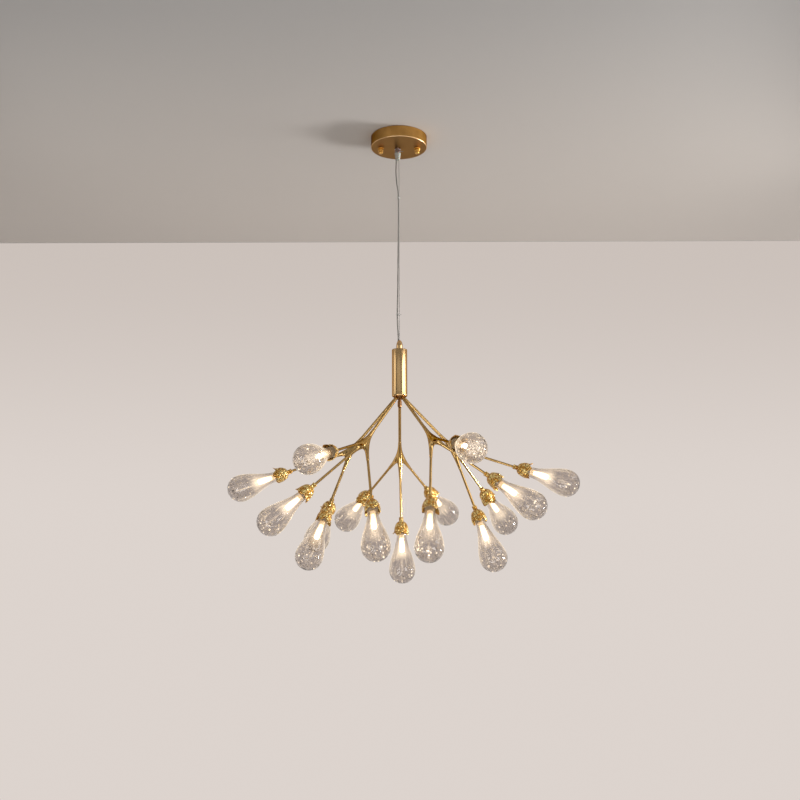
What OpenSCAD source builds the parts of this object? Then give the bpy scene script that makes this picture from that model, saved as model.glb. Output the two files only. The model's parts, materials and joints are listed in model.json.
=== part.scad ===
// Branch chandelier. Five brass branches leave a ball under a centre tube, and each ends
// in a cast trident that carries three lights. The lamp hangs on a steel wire, with a clear
// cord clipped beside it, from a round cup on the ceiling.
// Sizes are in mm and +Z is up. The origin is the middle of the ceiling face of the crossbar.

/* [Canopy] */
// Outer diameter of the ceiling cup
canopy_d = 120; // [110:1:150]
// Height of the ceiling cup
canopy_h = 25; // [25:0.5:32]
// Distance between the two ceiling screws
screw_spacing = 54; // [48:1:56]

/* [Suspension] */
// Drop from the ceiling to the top of the centre tube
drop = 475; // [400:1:700]
// Diameter of the clear two-core cord
cord_d = 3; // [2.6:0.1:3.2]
// Diameter of the steel wire
wire_d = 1.2; // [1:0.1:1.4]

/* [Centre tube] */
// Outer diameter of the centre tube
tube_d = 31.5; // [30:0.5:40]
// Length of the centre tube
tube_len = 100; // [80:1:140]

/* [Branches] */
// Reach of a branch from the middle of the ball to the trident
arm_len = 155; // [140:1:200]
// Diameter of a branch rod
rod_d = 6; // [5.6:0.1:6.2]
// Reach of a twig from the trident to its leaf cup
twig_len = 131; // [110:1:160]
// Diameter of a twig
twig_d = 5; // [4.6:0.1:5.2]
// Angle between a branch and its twigs
fork_angle = 31.5; // [28:0.5:34]

/* [Lights] */
// Largest diameter of a glass drop
glass_d = 56; // [50:1:60]
// Length of a glass drop with its neck
glass_len = 121; // [110:1:130]
// Thickness of the glass
glass_wall = 1.4; // [1.2:0.1:1.8]
// Diameter of a bulb
bulb_d = 12.4; // [11:0.2:13]
// Length of a bulb without its pins
bulb_len = 40; // [34:1:44]
// Height of the petal tips over the notches
petal_rise = 13; // [10:0.5:15]

/* [Clearances] */
// Gap between a branch rod and its socket in the ball
rod_gap = 0.08; // [0.05:0.01:0.1]
// Gap between a glass neck and the lamp holder in it
neck_gap = 0.1; // [0.06:0.01:0.1]
// Gap around a pin of a bulb
pin_gap = 0.1; // [0.06:0.01:0.1]
// Gap between a cap nut and its stud
stud_gap = 0.08; // [0.05:0.01:0.1]
// Gap left where two moving pieces rest on each other
rest_gap = 0.3; // [0.2:0.05:0.4]

/* [Hidden] */
$fn = 48;

// Branches in order: rear, left, front left, front right, right. The object is bent and
// turned by hand at each joint, so every angle is a little off its even spacing.
arm_turn = [90, 160.5, 230.5, 304, 15];
arm_fall = [45.5, 46.5, 47.5, 44.5, 44];
arm_roll = [184, 22, 23, -32.5, -37.5];
// How far each twig is bent off its even place: out from the branch, then around it
twig_out = [[0, 0, 0.5], [-1, 3.5, -0.5], [1, 0.5, 1.5], [1.5, 0, -0.5], [-1.5, 0, -1]];
twig_side = [[-2, 0, 4], [-0.5, 2, -1.5], [4, -3.5, 0.5], [0, 1, -0.5], [0, 1.5, -2]];

// Ceiling cup and what it holds
cup_wall = 1.2;
cup_edge_r = 1.6;
cup_top = -0.5;
floor_z = -canopy_h + cup_wall;
nut_spacing = 0.65 * canopy_d;
bar_w = 18;
bar_t = 2;
bar_over = 11;
bar_len = nut_spacing + 2 * bar_over;
screw_hole_r = 2.6;
cable_hole_r = 5;
stud_r = 2;
stud_play = 0.2;
stud_end = -canopy_h - 8;
hex_r = 4;
hex_h = 3.2;
thread_r = 5.4;
thread_in = 4.8;
grip_hex_r = 7;
grip_hex_h = 4.5;
grip_nut_h = 3;
knurl_r = 6;
knurl_h = 2.6;
knurl_at = 9;
wire_exit = 7.7;
cut_end = 12.5;
driver_w = 48;
driver_l = 32;
driver_h = 17;
driver_inset = 15;
driver_front = canopy_d / 2 - driver_inset - driver_l;
foot_w = driver_w + 12;
foot_l = 18;
foot_t = 2.4;
foot_notch_r = 2.2;
terminal_w = 32;
terminal_l = 16;
terminal_h = 16;
terminal_inset = 29;
terminal_back = terminal_inset - canopy_d / 2;
terminal_pitch = 12;
well_r = 2.4;
entry_r = 1.6;
entry_in = 8;
wire_entry_z = -10;
nipple_x = -2.8;
cord_x = 2 * nipple_x;
gripper_h = 12;
grip_h = 16;
grip_top = -canopy_h - gripper_h;
grip_end = grip_top - grip_h;
cord_r = cord_d / 2;
wire_r = wire_d / 2;
cord_play = 0.1;
wire_play = 0.05;
mouth_play = 0.3;
tail_bend = 9;
clip_h = 3.2;
clip_wall = 1;
clip_play = 0.08;
band_w = 2.4;
band_end_w = 1.2;
band_end_t = 1.6;

// Centre tube, top nipple and ball
tube_r = tube_d / 2;
tube_wall = 1.5;
tube_edge_r = 2.6;
tube_cap = 3;
tube_lip = 0.9;
lip_h = 1.2;
tube_top = -drop;
tube_end = tube_top - tube_len;
tube_in_r = tube_r - tube_wall;
nipple_h = 21;
nipple_r = 6.5;
nipple_side = 8;
nipple_foot_r = 4.8;
nipple_foot_h = 6;
nipple_end = tube_top + nipple_h;
ball_r = 13.5;
ball_z = tube_end + 7;
finial_drop = 30;
hub_fit = 0.02;
socket_in = 8.4;
brazed_in = 6;

// A light, measured along its own axis from the end of the twig
cup_rim = 27;
floor_in = 12.8;
holder_in = 18;
holder_face = 36;
holder_stem_r = 5;
holder_edge = 0.8;
neck_start = 20;
neck_r = 10.3;
holder_r = neck_r - glass_wall - neck_gap;
bulb_start = holder_face + rest_gap;
bulb_r = bulb_d / 2;
bulb_edge = 0.6;
bulb_dome = 5;
pin_r = 0.4;
pin_side = 2;
pin_len = 8;
glass_r = glass_d / 2;
neck_end = holder_face - 6;
glass_end = neck_start + glass_len;
ball_at = glass_end - glass_r;

function unit(v) = v / norm(v);
function smooth(t) = t * t * (3 - 2 * t);

// Skin over a row of rings that have the same count of points
module ring_skin(rings) {
  n = len(rings[0]);
  m = len(rings);
  pts = [for (ring = rings) for (p = ring) p];
  sides = [for (i = [0 : m - 2]) for (j = [0 : n - 1])
    for (f = [[i * n + j, (i + 1) * n + j, (i + 1) * n + (j + 1) % n],
      [i * n + j, (i + 1) * n + (j + 1) % n, i * n + (j + 1) % n]]) f];
  first = [[for (j = [0 : n - 1]) j]];
  last = [[for (j = [n - 1 : -1 : 0]) (m - 1) * n + j]];
  polyhedron(points = pts, faces = concat(first, sides, last), convexity = 8);
}

// Points of a smooth curve through the given points
function curve_point(a, b, c, d, t) = 0.5 * (2 * b + (c - a) * t
  + (2 * a - 5 * b + 4 * c - d) * t * t + (3 * b - a - 3 * c + d) * t * t * t);
function curve(p, k) = let (e = len(p) - 1) concat(
  [for (i = [0 : e - 1]) for (j = [0 : k - 1])
    curve_point(p[max(i - 1, 0)], p[i], p[i + 1], p[min(i + 2, e)], j / k)],
  [p[e]]);

// Round cord along a row of points
module cord_along(p, r, sides, side_dir) {
  e = len(p) - 1;
  ring_skin([for (i = [0 : e])
    let (t = unit(p[min(i + 1, e)] - p[max(i - 1, 0)]))
    let (a = unit(cross(side_dir, t)))
    let (b = cross(t, a))
    [for (j = [0 : sides - 1])
      p[i] + r * (cos(360 * j / sides) * a + sin(360 * j / sides) * b)]]);
}

// Steel crossbar on the ceiling, with two screw holes, a hole for the supply cable, and the
// two studs that carry the cup, each with a lock nut on the bar and one on the cup's floor
module ceiling_bracket() color("silver") {
  difference() {
    translate([-bar_len / 2, -bar_w / 2, -bar_t]) cube([bar_len, bar_w, bar_t]);
    for (s = [-1, 1]) translate([s * screw_spacing / 2, 0, -bar_t - 1])
      cylinder(r = screw_hole_r, h = bar_t + 2);
    translate([0, 0, -bar_t - 1]) cylinder(r = cable_hole_r, h = bar_t + 2);
  }
  for (s = [-1, 1]) translate([s * nut_spacing / 2, 0, 0]) {
    translate([0, 0, stud_end]) cylinder(r = stud_r, h = -1 - stud_end);
    translate([0, 0, -bar_t - hex_h]) cylinder(r = hex_r, h = hex_h, $fn = 6);
    translate([0, 0, floor_z]) cylinder(r = hex_r, h = hex_h, $fn = 6);
  }
}

// Round cup that hides the crossbar and the wiring
module canopy_cup() color("goldenrod") difference() {
  rotate_extrude($fn = 96) polygon(concat(
    [[0, -canopy_h]],
    [for (a = [0 : 22.5 : 90])
      [canopy_d / 2 - cup_edge_r * (1 - sin(a)), -canopy_h + cup_edge_r * (1 - cos(a))]],
    [[canopy_d / 2, cup_top], [canopy_d / 2 - cup_wall, cup_top],
      [canopy_d / 2 - cup_wall, floor_z], [0, floor_z]]));
  for (s = [-1, 1]) translate([s * nut_spacing / 2, 0, -canopy_h - 1])
    cylinder(r = stud_r + stud_play, h = cup_wall + 2);
  translate([nipple_x, 0, -canopy_h - 1]) cylinder(r = thread_r + 0.05, h = cup_wall + 2);
}

// Turned cap nut: flange, barrel and a ball end
module cap_nut(s) color("gold") translate([s * nut_spacing / 2, 0, -canopy_h])
  difference() {
    rotate_extrude() polygon([[0, -rest_gap], [6.6, -rest_gap], [7, -0.6], [7, -1.8],
      [5.8, -2.2], [6.2, -3.2], [6.5, -4.6], [6.3, -6.2], [5.4, -7.3], [4.4, -7.8],
      [4.4, -8.3], [4.9, -9.1], [5.2, -10.3], [4.9, -11.6], [3.9, -12.7],
      [2, -13.4], [0, -13.6]]);
    translate([0, 0, stud_end + canopy_h - 0.6]) cylinder(r = stud_r + stud_gap, h = 10);
  }

// Plated nipple through the cup: it grips the wire, whose cut end leaves at the side
module cable_gripper() color("silver") {
  difference() {
    translate([nipple_x, 0, 0]) union() {
      translate([0, 0, grip_top]) cylinder(r = thread_r, h = floor_z + thread_in - grip_top);
      translate([0, 0, -canopy_h - grip_hex_h])
        cylinder(r = grip_hex_r, h = grip_hex_h, $fn = 6);
      translate([0, 0, -canopy_h - knurl_at]) cylinder(r = knurl_r, h = knurl_h);
      translate([0, 0, floor_z]) cylinder(r = grip_hex_r, h = grip_nut_h, $fn = 6);
    }
    translate([cord_x, 0, grip_top - 1]) cylinder(r = cord_r + cord_play, h = -grip_top);
  }
  translate([0, 0, grip_end + 1.9]) cylinder(r = wire_r, h = grip_h);
  translate([nipple_x, 0, -canopy_h - wire_exit]) rotate([0, 90, 0])
    cylinder(r = wire_r, h = cut_end);
}

// White plastic grip that the cord and the wire leave
module cord_grip() color("white") difference() {
  translate([nipple_x, 0, grip_end]) rotate_extrude() polygon([[0, 0], [4.9, 0], [5.3, 0.5],
    [6, grip_h - 4], [6.5, grip_h - 3.4], [6.5, grip_h - 0.6], [6.1, grip_h], [0, grip_h]]);
  translate([cord_x, 0, grip_end - 1]) cylinder(r = cord_r + cord_play, h = grip_h + 2);
  translate([cord_x, 0, grip_end - 1]) cylinder(r = cord_r + mouth_play, h = 3.2);
  translate([0, 0, grip_end - 1]) cylinder(r = wire_r + wire_play, h = grip_h + 2);
  translate([0, 0, grip_end - 1]) cylinder(r = wire_r + mouth_play, h = 2.9);
}

// Low-voltage driver on the floor of the cup: a case between two notched feet
module lamp_driver() color("white") {
  middle = driver_front + driver_l / 2;
  difference() {
    union() {
      translate([-driver_w / 2, driver_front, floor_z]) cube([driver_w, driver_l, driver_h]);
      translate([-foot_w / 2, middle - foot_l / 2, floor_z]) cube([foot_w, foot_l, foot_t]);
    }
    for (s = [-1, 1]) translate([s * (foot_w / 2 - 1), middle, floor_z - 1])
      cylinder(r = foot_notch_r, h = foot_t + 2);
  }
}

// Two-way screw terminal on the floor of the cup: two screw wells on top, and two entries
// for the supply wires at the back
module terminal_block() color("ivory") difference() {
  translate([-terminal_w / 2, terminal_back, floor_z]) cube([terminal_w, terminal_l, terminal_h]);
  for (s = [-1, 1]) translate([s * terminal_pitch / 2, 0, wire_entry_z]) {
    translate([0, terminal_back + terminal_l / 2, 0]) cylinder(r = well_r, h = 4);
    translate([0, terminal_back - 1, -3]) rotate([-90, 0, 0])
      cylinder(r = entry_r, h = entry_in + 1);
  }
}

// Upper end of the cord, from the grip up to the terminal
module cord_tail() color("gainsboro") cord_along(concat(
  [[cord_x, 0, grip_end + 2.3], [cord_x, 0, -canopy_h - 5],
    [cord_x, 0, wire_entry_z - tail_bend - 3]],
  [for (a = [0 : 15 : 90])
    [cord_x, tail_bend * (cos(a) - 1), wire_entry_z - tail_bend * (1 - sin(a))]],
  [[cord_x, terminal_back + terminal_l, wire_entry_z]]), cord_r, 8, [1, 0, 0]);

// Steel wire that carries the lamp
module suspension_wire() color("dimgray")
  translate([0, 0, nipple_end - cord_in]) cylinder(r = wire_r, h = cord_run + cord_in + 1);

// Clear cord, bowed out under the grip and then clipped along the wire. Its places are shares
// of the way down from the grip to the nipple.
cord_run = grip_end - nipple_end;
cord_in = 8;
function down(share) = grip_end - share * cord_run;
clip_share = [0.215, 0.862];
clip_at = [[-1.55, -1.8], [-4.2, 0]];
clip_reach = [4.2, 4];
cord_points = [[cord_x, 0, grip_end + 1.1], [cord_x - 0.4, 0, down(0.022)],
  [cord_x - 0.8, 0, down(0.077)], [-4.8, -0.6, down(0.13)], [-2.2, -1.6, down(0.18)],
  [-1.6, -1.8, down(0.21)], [-1.4, -1.8, down(0.24)], [-1.4, -1.7, down(0.36)],
  [-2.2, -1, down(0.51)], [-3.2, -0.4, down(0.73)], [-4.2, 0, down(0.845)],
  [-4.2, 0, down(0.88)], [-3.6, 0, down(0.93)], [-2.6, 0, nipple_end + 12],
  [-2.4, 0, nipple_end + 2], [-2.4, 0, nipple_end - cord_in]];
module power_cord() color("gainsboro") cord_along(curve(cord_points, 4), cord_r, 8, [0, 1, 0]);

// One clear clip round the wire and the cord, with the ends of its band sticking out
module clip(x, y, z, w) translate([0, 0, z - clip_h / 2]) difference() {
  union() {
    translate([x, y, 0]) cylinder(r = cord_r + clip_wall, h = clip_h);
    cylinder(r = wire_r + clip_wall, h = clip_h);
    rotate([0, 0, atan2(y, x)]) {
      translate([0, -band_w / 2, 0]) cube([norm([x, y]), band_w, clip_h]);
      translate([-w, -band_end_w / 2, (clip_h - band_end_t) / 2])
        cube([w, band_end_w, band_end_t]);
      translate([norm([x, y]), -band_end_w / 2, (clip_h - band_end_t) / 2])
        cube([w - 1, band_end_w, band_end_t]);
    }
  }
  translate([x, y, -1]) cylinder(r = cord_r + clip_play, h = clip_h + 2);
  translate([0, 0, -1]) cylinder(r = wire_r + wire_play, h = clip_h + 2);
}
module cord_clips() color("whitesmoke") for (n = [0, 1])
  clip(clip_at[n][0], clip_at[n][1], down(clip_share[n]), clip_reach[n]);

// Bullet nipple on top of the tube, drilled for the wire and the cord
module top_nipple() color("goldenrod") difference() {
  translate([0, 0, tube_top]) rotate_extrude() polygon(concat(
    [[0, -nipple_foot_h], [nipple_foot_r, -nipple_foot_h], [nipple_foot_r, 0.001],
      [nipple_r, 0.001], [nipple_r, nipple_side]],
    [for (a = [12 : 12 : 72])
      [nipple_r * cos(a), nipple_side + (nipple_h - nipple_side) * sin(a)]],
    [[0, nipple_h]]));
  translate([-2.4, 0, nipple_end - cord_in]) cylinder(r = cord_r + 0.05, h = cord_in + 4);
  translate([0, 0, nipple_end - cord_in]) cylinder(r = wire_r + 0.03, h = cord_in + 4);
}

// Bright tube with a rounded lower edge
module centre_tube() color("goldenrod") rotate_extrude() polygon(concat(
  [[nipple_foot_r + 0.05, tube_top], [tube_r - 0.5, tube_top], [tube_r, tube_top - 0.5]],
  [for (a = [0 : 15 : 75])
    [tube_r - tube_edge_r * (1 - cos(a)), tube_end + tube_edge_r * (1 - sin(a))]],
  [[tube_in_r - tube_lip, tube_end], [tube_in_r - tube_lip, tube_end + lip_h],
    [tube_in_r, tube_end + lip_h], [tube_in_r, tube_top - tube_cap],
    [nipple_foot_r + 0.05, tube_top - tube_cap]]));

// Place a piece in the frame of one branch, with +Z out along the rod
module arm_frame(i) translate([0, 0, ball_z]) rotate([0, 0, arm_turn[i]])
  rotate([0, 90 + arm_fall[i], 0]) children();

// Ball under the tube, with a socket for each rod and a small finial nut
module branch_hub() color("goldenrod") difference() {
  union() {
    intersection() {
      translate([0, 0, ball_z]) sphere(r = ball_r);
      translate([0, 0, ball_z - ball_r - 1])
        cylinder(r = tube_in_r - tube_lip - hub_fit, h = ball_r + 2);
    }
    translate([0, 0, tube_end + lip_h + hub_fit]) cylinder(r = tube_in_r - hub_fit, h = 9);
    translate([0, 0, ball_z - finial_drop]) rotate_extrude() polygon([[0, 0], [2.4, 0.4], [3.8, 1.6],
      [4.3, 3.4], [4.3, 13.5], [3.4, 14.5], [3.4, 19], [0, 19]]);
  }
  for (i = [0 : 4]) arm_frame(i)
    translate([0, 0, socket_in]) cylinder(r = rod_d / 2 + rod_gap, h = 20);
}

// Where each twig leaves its branch: around the rod, then out from it
function around(i, k) = 180 - arm_roll[i] - 120 * k - twig_side[i][k];
function outward(i, k) = fork_angle + twig_out[i][k];

// Cast trident: a round stem that swells into three lobes, which part as three legs. The legs
// lean out gently over lobe_soft, and webs fill the space between them. A ring of the stem has
// 24 points, eight to a lobe, and a ring of a leg has 12.
stem_z = [-34, -26, -18, -11, -4, 3, 10, 16];
stem_r = [2.5, 2.6, 3, 3.6, 4.3, 4.6, 4.5, 4.2];
web_r = [3.35, 3.5, 3.9, 4.5, 5.3, 6.2, 6.8, 6.6];
lobe_soft = 14;
leg_at = [24, 31, 39, 47];
leg_r = [4.1, 3.6, 3.25, 2.95];
function lobe_out(z, c) = 0.5 * tan(c) * (z + sqrt(z * z + lobe_soft * lobe_soft));
function stem_ring(i, n) = [for (j = [0 : 23])
  let (k = (3 - floor((j + 4) / 8) % 3) % 3)
  let (c = outward(i, k))
  let (a = stem_angle(i, j))
  let (out = lobe_out(stem_z[n], c) + stem_r[n])
  let (w = 0.5 + 0.5 * cos(45 * ((j + 4) % 8 - 4)))
  let (r = web_r[n] + (out - web_r[n]) * w)
  [r * cos(a), r * sin(a), stem_z[n]]];
// Counter-clockwise the twigs come as first, third, second, because around() falls with k
function ccw(i, q) = around(i, (3 - q % 3) % 3);
function span(i, q) = (ccw(i, q + 1) - ccw(i, q) + 720) % 360;
function stem_angle(i, j) = let (q = floor(j / 8) % 3) ccw(i, q) + (j % 8) / 8 * span(i, q);
function leg_dir(i, k) = [sin(outward(i, k)) * cos(around(i, k)),
  sin(outward(i, k)) * sin(around(i, k)), cos(outward(i, k))];
function leg_ring(i, k, n) = let (a = around(i, k)) let (c = outward(i, k))
  let (e1 = [cos(c) * cos(a), cos(c) * sin(a), -sin(c)])
  let (e2 = [-sin(a), cos(a), 0])
  [for (m = [0 : 11]) leg_at[n] * leg_dir(i, k)
    + leg_r[n] * (cos(30 * m - 120) * e1 + sin(30 * m - 120) * e2)];
module trident(i) {
  levels = len(stem_z);
  legs = len(leg_at);
  split = 24 * (levels - 1);
  core = 24 * levels;
  web_z = stem_z[levels - 1];
  pts = concat(
    [for (n = [0 : levels - 1]) for (p = stem_ring(i, n)) p],
    [[0, 0, web_z - 1]],
    [for (q = [0 : 2]) let (a = stem_angle(i, 8 * q + 4))
      [0.5 * web_r[levels - 1] * cos(a), 0.5 * web_r[levels - 1] * sin(a), web_z - 0.6]],
    [for (q = [0 : 2]) for (n = [0 : legs - 1]) for (p = leg_ring(i, (3 - q) % 3, n)) p]);
  mouth = [for (q = [0 : 2]) concat(
    [for (m = [0 : 8]) split + (8 * q + 20 + m) % 24],
    [core + 1 + q, core, core + 1 + (q + 2) % 3])];
  loop = [for (q = [0 : 2]) concat([mouth[q]],
    [for (n = [0 : legs - 1]) [for (m = [0 : 11]) core + 4 + (q * legs + n) * 12 + m]])];
  stem = [for (n = [0 : levels - 2]) for (j = [0 : 23])
    for (f = [[24 * n + j, 24 * n + 24 + j, 24 * n + 24 + (j + 1) % 24],
      [24 * n + j, 24 * n + 24 + (j + 1) % 24, 24 * n + (j + 1) % 24]]) f];
  skins = [for (q = [0 : 2]) for (n = [0 : legs - 1]) for (m = [0 : 11])
    for (f = [[loop[q][n][m], loop[q][n + 1][m], loop[q][n + 1][(m + 1) % 12]],
      [loop[q][n][m], loop[q][n + 1][(m + 1) % 12], loop[q][n][(m + 1) % 12]]]) f];
  ends = [for (q = [0 : 2]) [for (m = [11 : -1 : 0]) loop[q][legs][m]]];
  polyhedron(points = pts, convexity = 8,
    faces = concat([[for (j = [0 : 23]) j]], stem, skins, ends));
}

// One branch: rod, trident and three twigs, brazed into one piece
module branch(i) color("goldenrod") arm_frame(i) {
  translate([0, 0, socket_in + rest_gap])
    cylinder(r = rod_d / 2, h = arm_len - socket_in + stem_z[0] + brazed_in);
  translate([0, 0, arm_len]) {
    trident(i);
    for (k = [0 : 2]) rotate([0, 0, around(i, k)]) rotate([0, outward(i, k), 0])
      translate([0, 0, leg_at[3] - brazed_in])
        cylinder(r = twig_d / 2, h = twig_len - leg_at[3] + brazed_in);
  }
}

// Place a piece in the frame of one light, with +Z out along the twig from its end
module light_frame(i, k) arm_frame(i) translate([0, 0, arm_len])
  rotate([0, 0, around(i, k)]) rotate([0, outward(i, k), 0])
  translate([0, 0, twig_len]) rotate([0, 0, 37 * i + 61 * k]) children();

// Leaf cup: a short ferrule that opens into a bell with five hand-cut petals. Each petal
// has its own height and its own bend, from curled in to flared out.
petal_step = [0, 0.2, 0.42, 0.64, 0.84];
petal_edge = [0.1, 0.52, 1, 0.74, 0.42];
function petal_tall(c, p) = 0.86 + 0.14 * sin(c * 97 + p * 151);
function petal_bend(c, p) = 1.6 + 2.6 * sin(c * 143 + p * 101);
function leans_back(p, c) = (p + c) % 2 == 1;
function edge_at(p, m, c) = leans_back(p, c) ? petal_edge[(5 - m) % 5] : petal_edge[m];
function step_at(p, m, c) = leans_back(p, c) && m > 0 ? 1 - petal_step[5 - m] : petal_step[m];
function cup_ring(c, r, z) = [for (p = [0 : 4]) for (m = [0 : 4])
  let (a = 72 * (p + step_at(p, m, c))) [r * cos(a), r * sin(a), z]];
function petal_ring(c, r, part) = [for (p = [0 : 4]) for (m = [0 : 4])
  let (a = 72 * (p + step_at(p, m, c)))
  let (h = part * petal_rise * edge_at(p, m, c) * petal_tall(c, p))
  let (f = petal_bend(c, p) * edge_at(p, m, c) * part * part)
  [(r + f) * cos(a), (r + f) * sin(a), cup_rim + h - 0.3 * max(f, 0)]];
// Radius and height of each ring: up the bell, over the petals' two faces, down the inside
bell_out = [[4.8, 0], [4.6, 9.5], [8.2, 12], [11.7, 16], [14.1, 21.5], [14.8, cup_rim]];
bell_in = [[13.4, cup_rim], [10.9, 17.5], [6.6, floor_in]];
petal_out = [[15, 0.55], [14.6, 1]];
petal_in = [[13.7, 1], [13.7, 0.55]];
module leaf_cup(c) ring_skin(concat(
  [for (r = bell_out) cup_ring(c, r[0], r[1])],
  [for (r = petal_out) petal_ring(c, r[0], r[1])],
  [for (r = petal_in) petal_ring(c, r[0], r[1])],
  [for (r = bell_in) cup_ring(c, r[0], r[1])]));
module leaf_cups(i) color("gold") for (k = [0 : 2]) light_frame(i, k) leaf_cup(3 * i + k);

// Lamp holder: a stem on the floor of the cup, a flange that the glass neck rests on, and a
// barrel that the neck slides over
module lamp_holder() difference() {
  union() {
    translate([0, 0, floor_in]) cylinder(r = holder_stem_r, h = holder_in - floor_in + 1);
    translate([0, 0, holder_in]) cylinder(r = neck_r, h = neck_start - rest_gap - holder_in);
    translate([0, 0, holder_in]) cylinder(r = holder_r, h = holder_face - holder_in - holder_edge);
    translate([0, 0, holder_in]) cylinder(r = holder_r - holder_edge, h = holder_face - holder_in);
  }
  for (s = [-1, 1]) translate([s * pin_side, 0, holder_face - pin_len - 1])
    cylinder(r = pin_r + pin_gap, h = pin_len + 2, $fn = 24);
}
module lamp_holders(i) color("dimgray") for (k = [0 : 2]) light_frame(i, k) lamp_holder();

// Glass drop: a straight neck that swells into a round end
swell = ball_at - holder_face;
function drop_r(t) = neck_r + (glass_r - neck_r) * smooth(t);
function drop_side(inset, steps) = [for (t = steps) [drop_r(t) - inset, holder_face + t * swell]];
function drop_end(inset, angles) = [for (a = angles)
  [(glass_r - inset) * sin(a), ball_at + (glass_r - inset) * cos(a)]];
module glass_drop() rotate_extrude() polygon(concat(
  [[neck_r, neck_start], [neck_r, neck_end]],
  drop_side(0, [0 : 1 / 14 : 1]),
  drop_end(0, [80 : -10 : 10]),
  [[0, glass_end], [0, glass_end - glass_wall]],
  drop_end(glass_wall, [10 : 10 : 80]),
  drop_side(glass_wall, [1 : -1 / 14 : 0]),
  [[neck_r - glass_wall, neck_end], [neck_r - glass_wall, neck_start]]));
module glass(i, k) color("lightgray", 0.4) light_frame(i, k) glass_drop();

// Capsule bulb on two pins
module bulb(i, k) color("lightyellow") light_frame(i, k) {
  rotate_extrude() polygon(concat([[0, bulb_start], [bulb_r - bulb_edge, bulb_start],
    [bulb_r, bulb_start + bulb_edge]],
    [for (a = [90 : -15 : 15])
      [bulb_r * sin(a), bulb_start + bulb_len - bulb_dome * (1 - cos(a))]],
    [[0, bulb_start + bulb_len]]));
  for (s = [-1, 1]) translate([s * pin_side, 0, holder_face - pin_len])
    cylinder(r = pin_r, h = pin_len + 1, $fn = 24);
}

ceiling_bracket();
canopy_cup();
cap_nut(-1);  // cap_nut_left
cap_nut(1);  // cap_nut_right
cable_gripper();
cord_grip();
lamp_driver();
terminal_block();
cord_tail();
suspension_wire();
power_cord();
cord_clips();
top_nipple();
centre_tube();
branch_hub();
branch(0);  // branch_1
branch(1);  // branch_2
branch(2);  // branch_3
branch(3);  // branch_4
branch(4);  // branch_5
leaf_cups(0);  // leaf_cups_1
leaf_cups(1);  // leaf_cups_2
leaf_cups(2);  // leaf_cups_3
leaf_cups(3);  // leaf_cups_4
leaf_cups(4);  // leaf_cups_5
lamp_holders(0);  // lamp_holders_1
lamp_holders(1);  // lamp_holders_2
lamp_holders(2);  // lamp_holders_3
lamp_holders(3);  // lamp_holders_4
lamp_holders(4);  // lamp_holders_5
glass(0, 0);  // glass_1a
glass(0, 1);  // glass_1b
glass(0, 2);  // glass_1c
glass(1, 0);  // glass_2a
glass(1, 1);  // glass_2b
glass(1, 2);  // glass_2c
glass(2, 0);  // glass_3a
glass(2, 1);  // glass_3b
glass(2, 2);  // glass_3c
glass(3, 0);  // glass_4a
glass(3, 1);  // glass_4b
glass(3, 2);  // glass_4c
glass(4, 0);  // glass_5a
glass(4, 1);  // glass_5b
glass(4, 2);  // glass_5c
bulb(0, 0);  // bulb_1a
bulb(0, 1);  // bulb_1b
bulb(0, 2);  // bulb_1c
bulb(1, 0);  // bulb_2a
bulb(1, 1);  // bulb_2b
bulb(1, 2);  // bulb_2c
bulb(2, 0);  // bulb_3a
bulb(2, 1);  // bulb_3b
bulb(2, 2);  // bulb_3c
bulb(3, 0);  // bulb_4a
bulb(3, 1);  // bulb_4b
bulb(3, 2);  // bulb_4c
bulb(4, 0);  // bulb_5a
bulb(4, 1);  // bulb_5b
bulb(4, 2);  // bulb_5c
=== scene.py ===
# %% [markdown]
# # A branch chandelier
# Five brass branches leave a ball under a short bright tube, and each ends in a cast trident
# with three twigs. Every twig carries a gold leaf cup, a small lit bulb and a clear glass drop.
# The solid model of the lamp is loaded first. It fixes every size and place, and each finer
# piece below is built round it, in metres, with +Z up and the ceiling at Z = 0.

# %% Load the solid model
import json
import math
import bmesh
import bpy
from mathutils import Matrix, Vector, noise


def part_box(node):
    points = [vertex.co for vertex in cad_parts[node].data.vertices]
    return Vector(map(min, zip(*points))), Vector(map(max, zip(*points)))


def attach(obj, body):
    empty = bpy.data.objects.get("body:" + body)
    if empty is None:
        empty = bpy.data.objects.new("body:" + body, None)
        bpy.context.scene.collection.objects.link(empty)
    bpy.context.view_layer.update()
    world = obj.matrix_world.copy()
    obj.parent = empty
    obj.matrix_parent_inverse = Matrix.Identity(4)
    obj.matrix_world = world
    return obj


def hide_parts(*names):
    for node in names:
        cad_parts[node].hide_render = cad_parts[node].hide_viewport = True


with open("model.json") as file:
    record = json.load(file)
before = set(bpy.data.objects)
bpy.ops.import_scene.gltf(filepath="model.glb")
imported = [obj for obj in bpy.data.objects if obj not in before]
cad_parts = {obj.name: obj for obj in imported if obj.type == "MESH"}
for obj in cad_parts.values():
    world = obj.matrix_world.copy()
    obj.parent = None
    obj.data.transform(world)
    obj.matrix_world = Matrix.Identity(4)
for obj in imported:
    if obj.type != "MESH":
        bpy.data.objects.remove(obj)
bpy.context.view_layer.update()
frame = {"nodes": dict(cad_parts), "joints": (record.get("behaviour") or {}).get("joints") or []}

joints = {joint["name"]: joint for joint in frame["joints"]}
print("solids:", len(frame["nodes"]), "joints:", len(joints))

# %% [markdown]
# ## The camera
# The photograph was taken from a little below the lamp, looking up at it, so the ceiling cup
# shows its underside and the drops on the near branches hang lowest. A longer lens keeps the
# sides upright. The picture is 800 by 800, and the focal length is given in its pixels.

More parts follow.
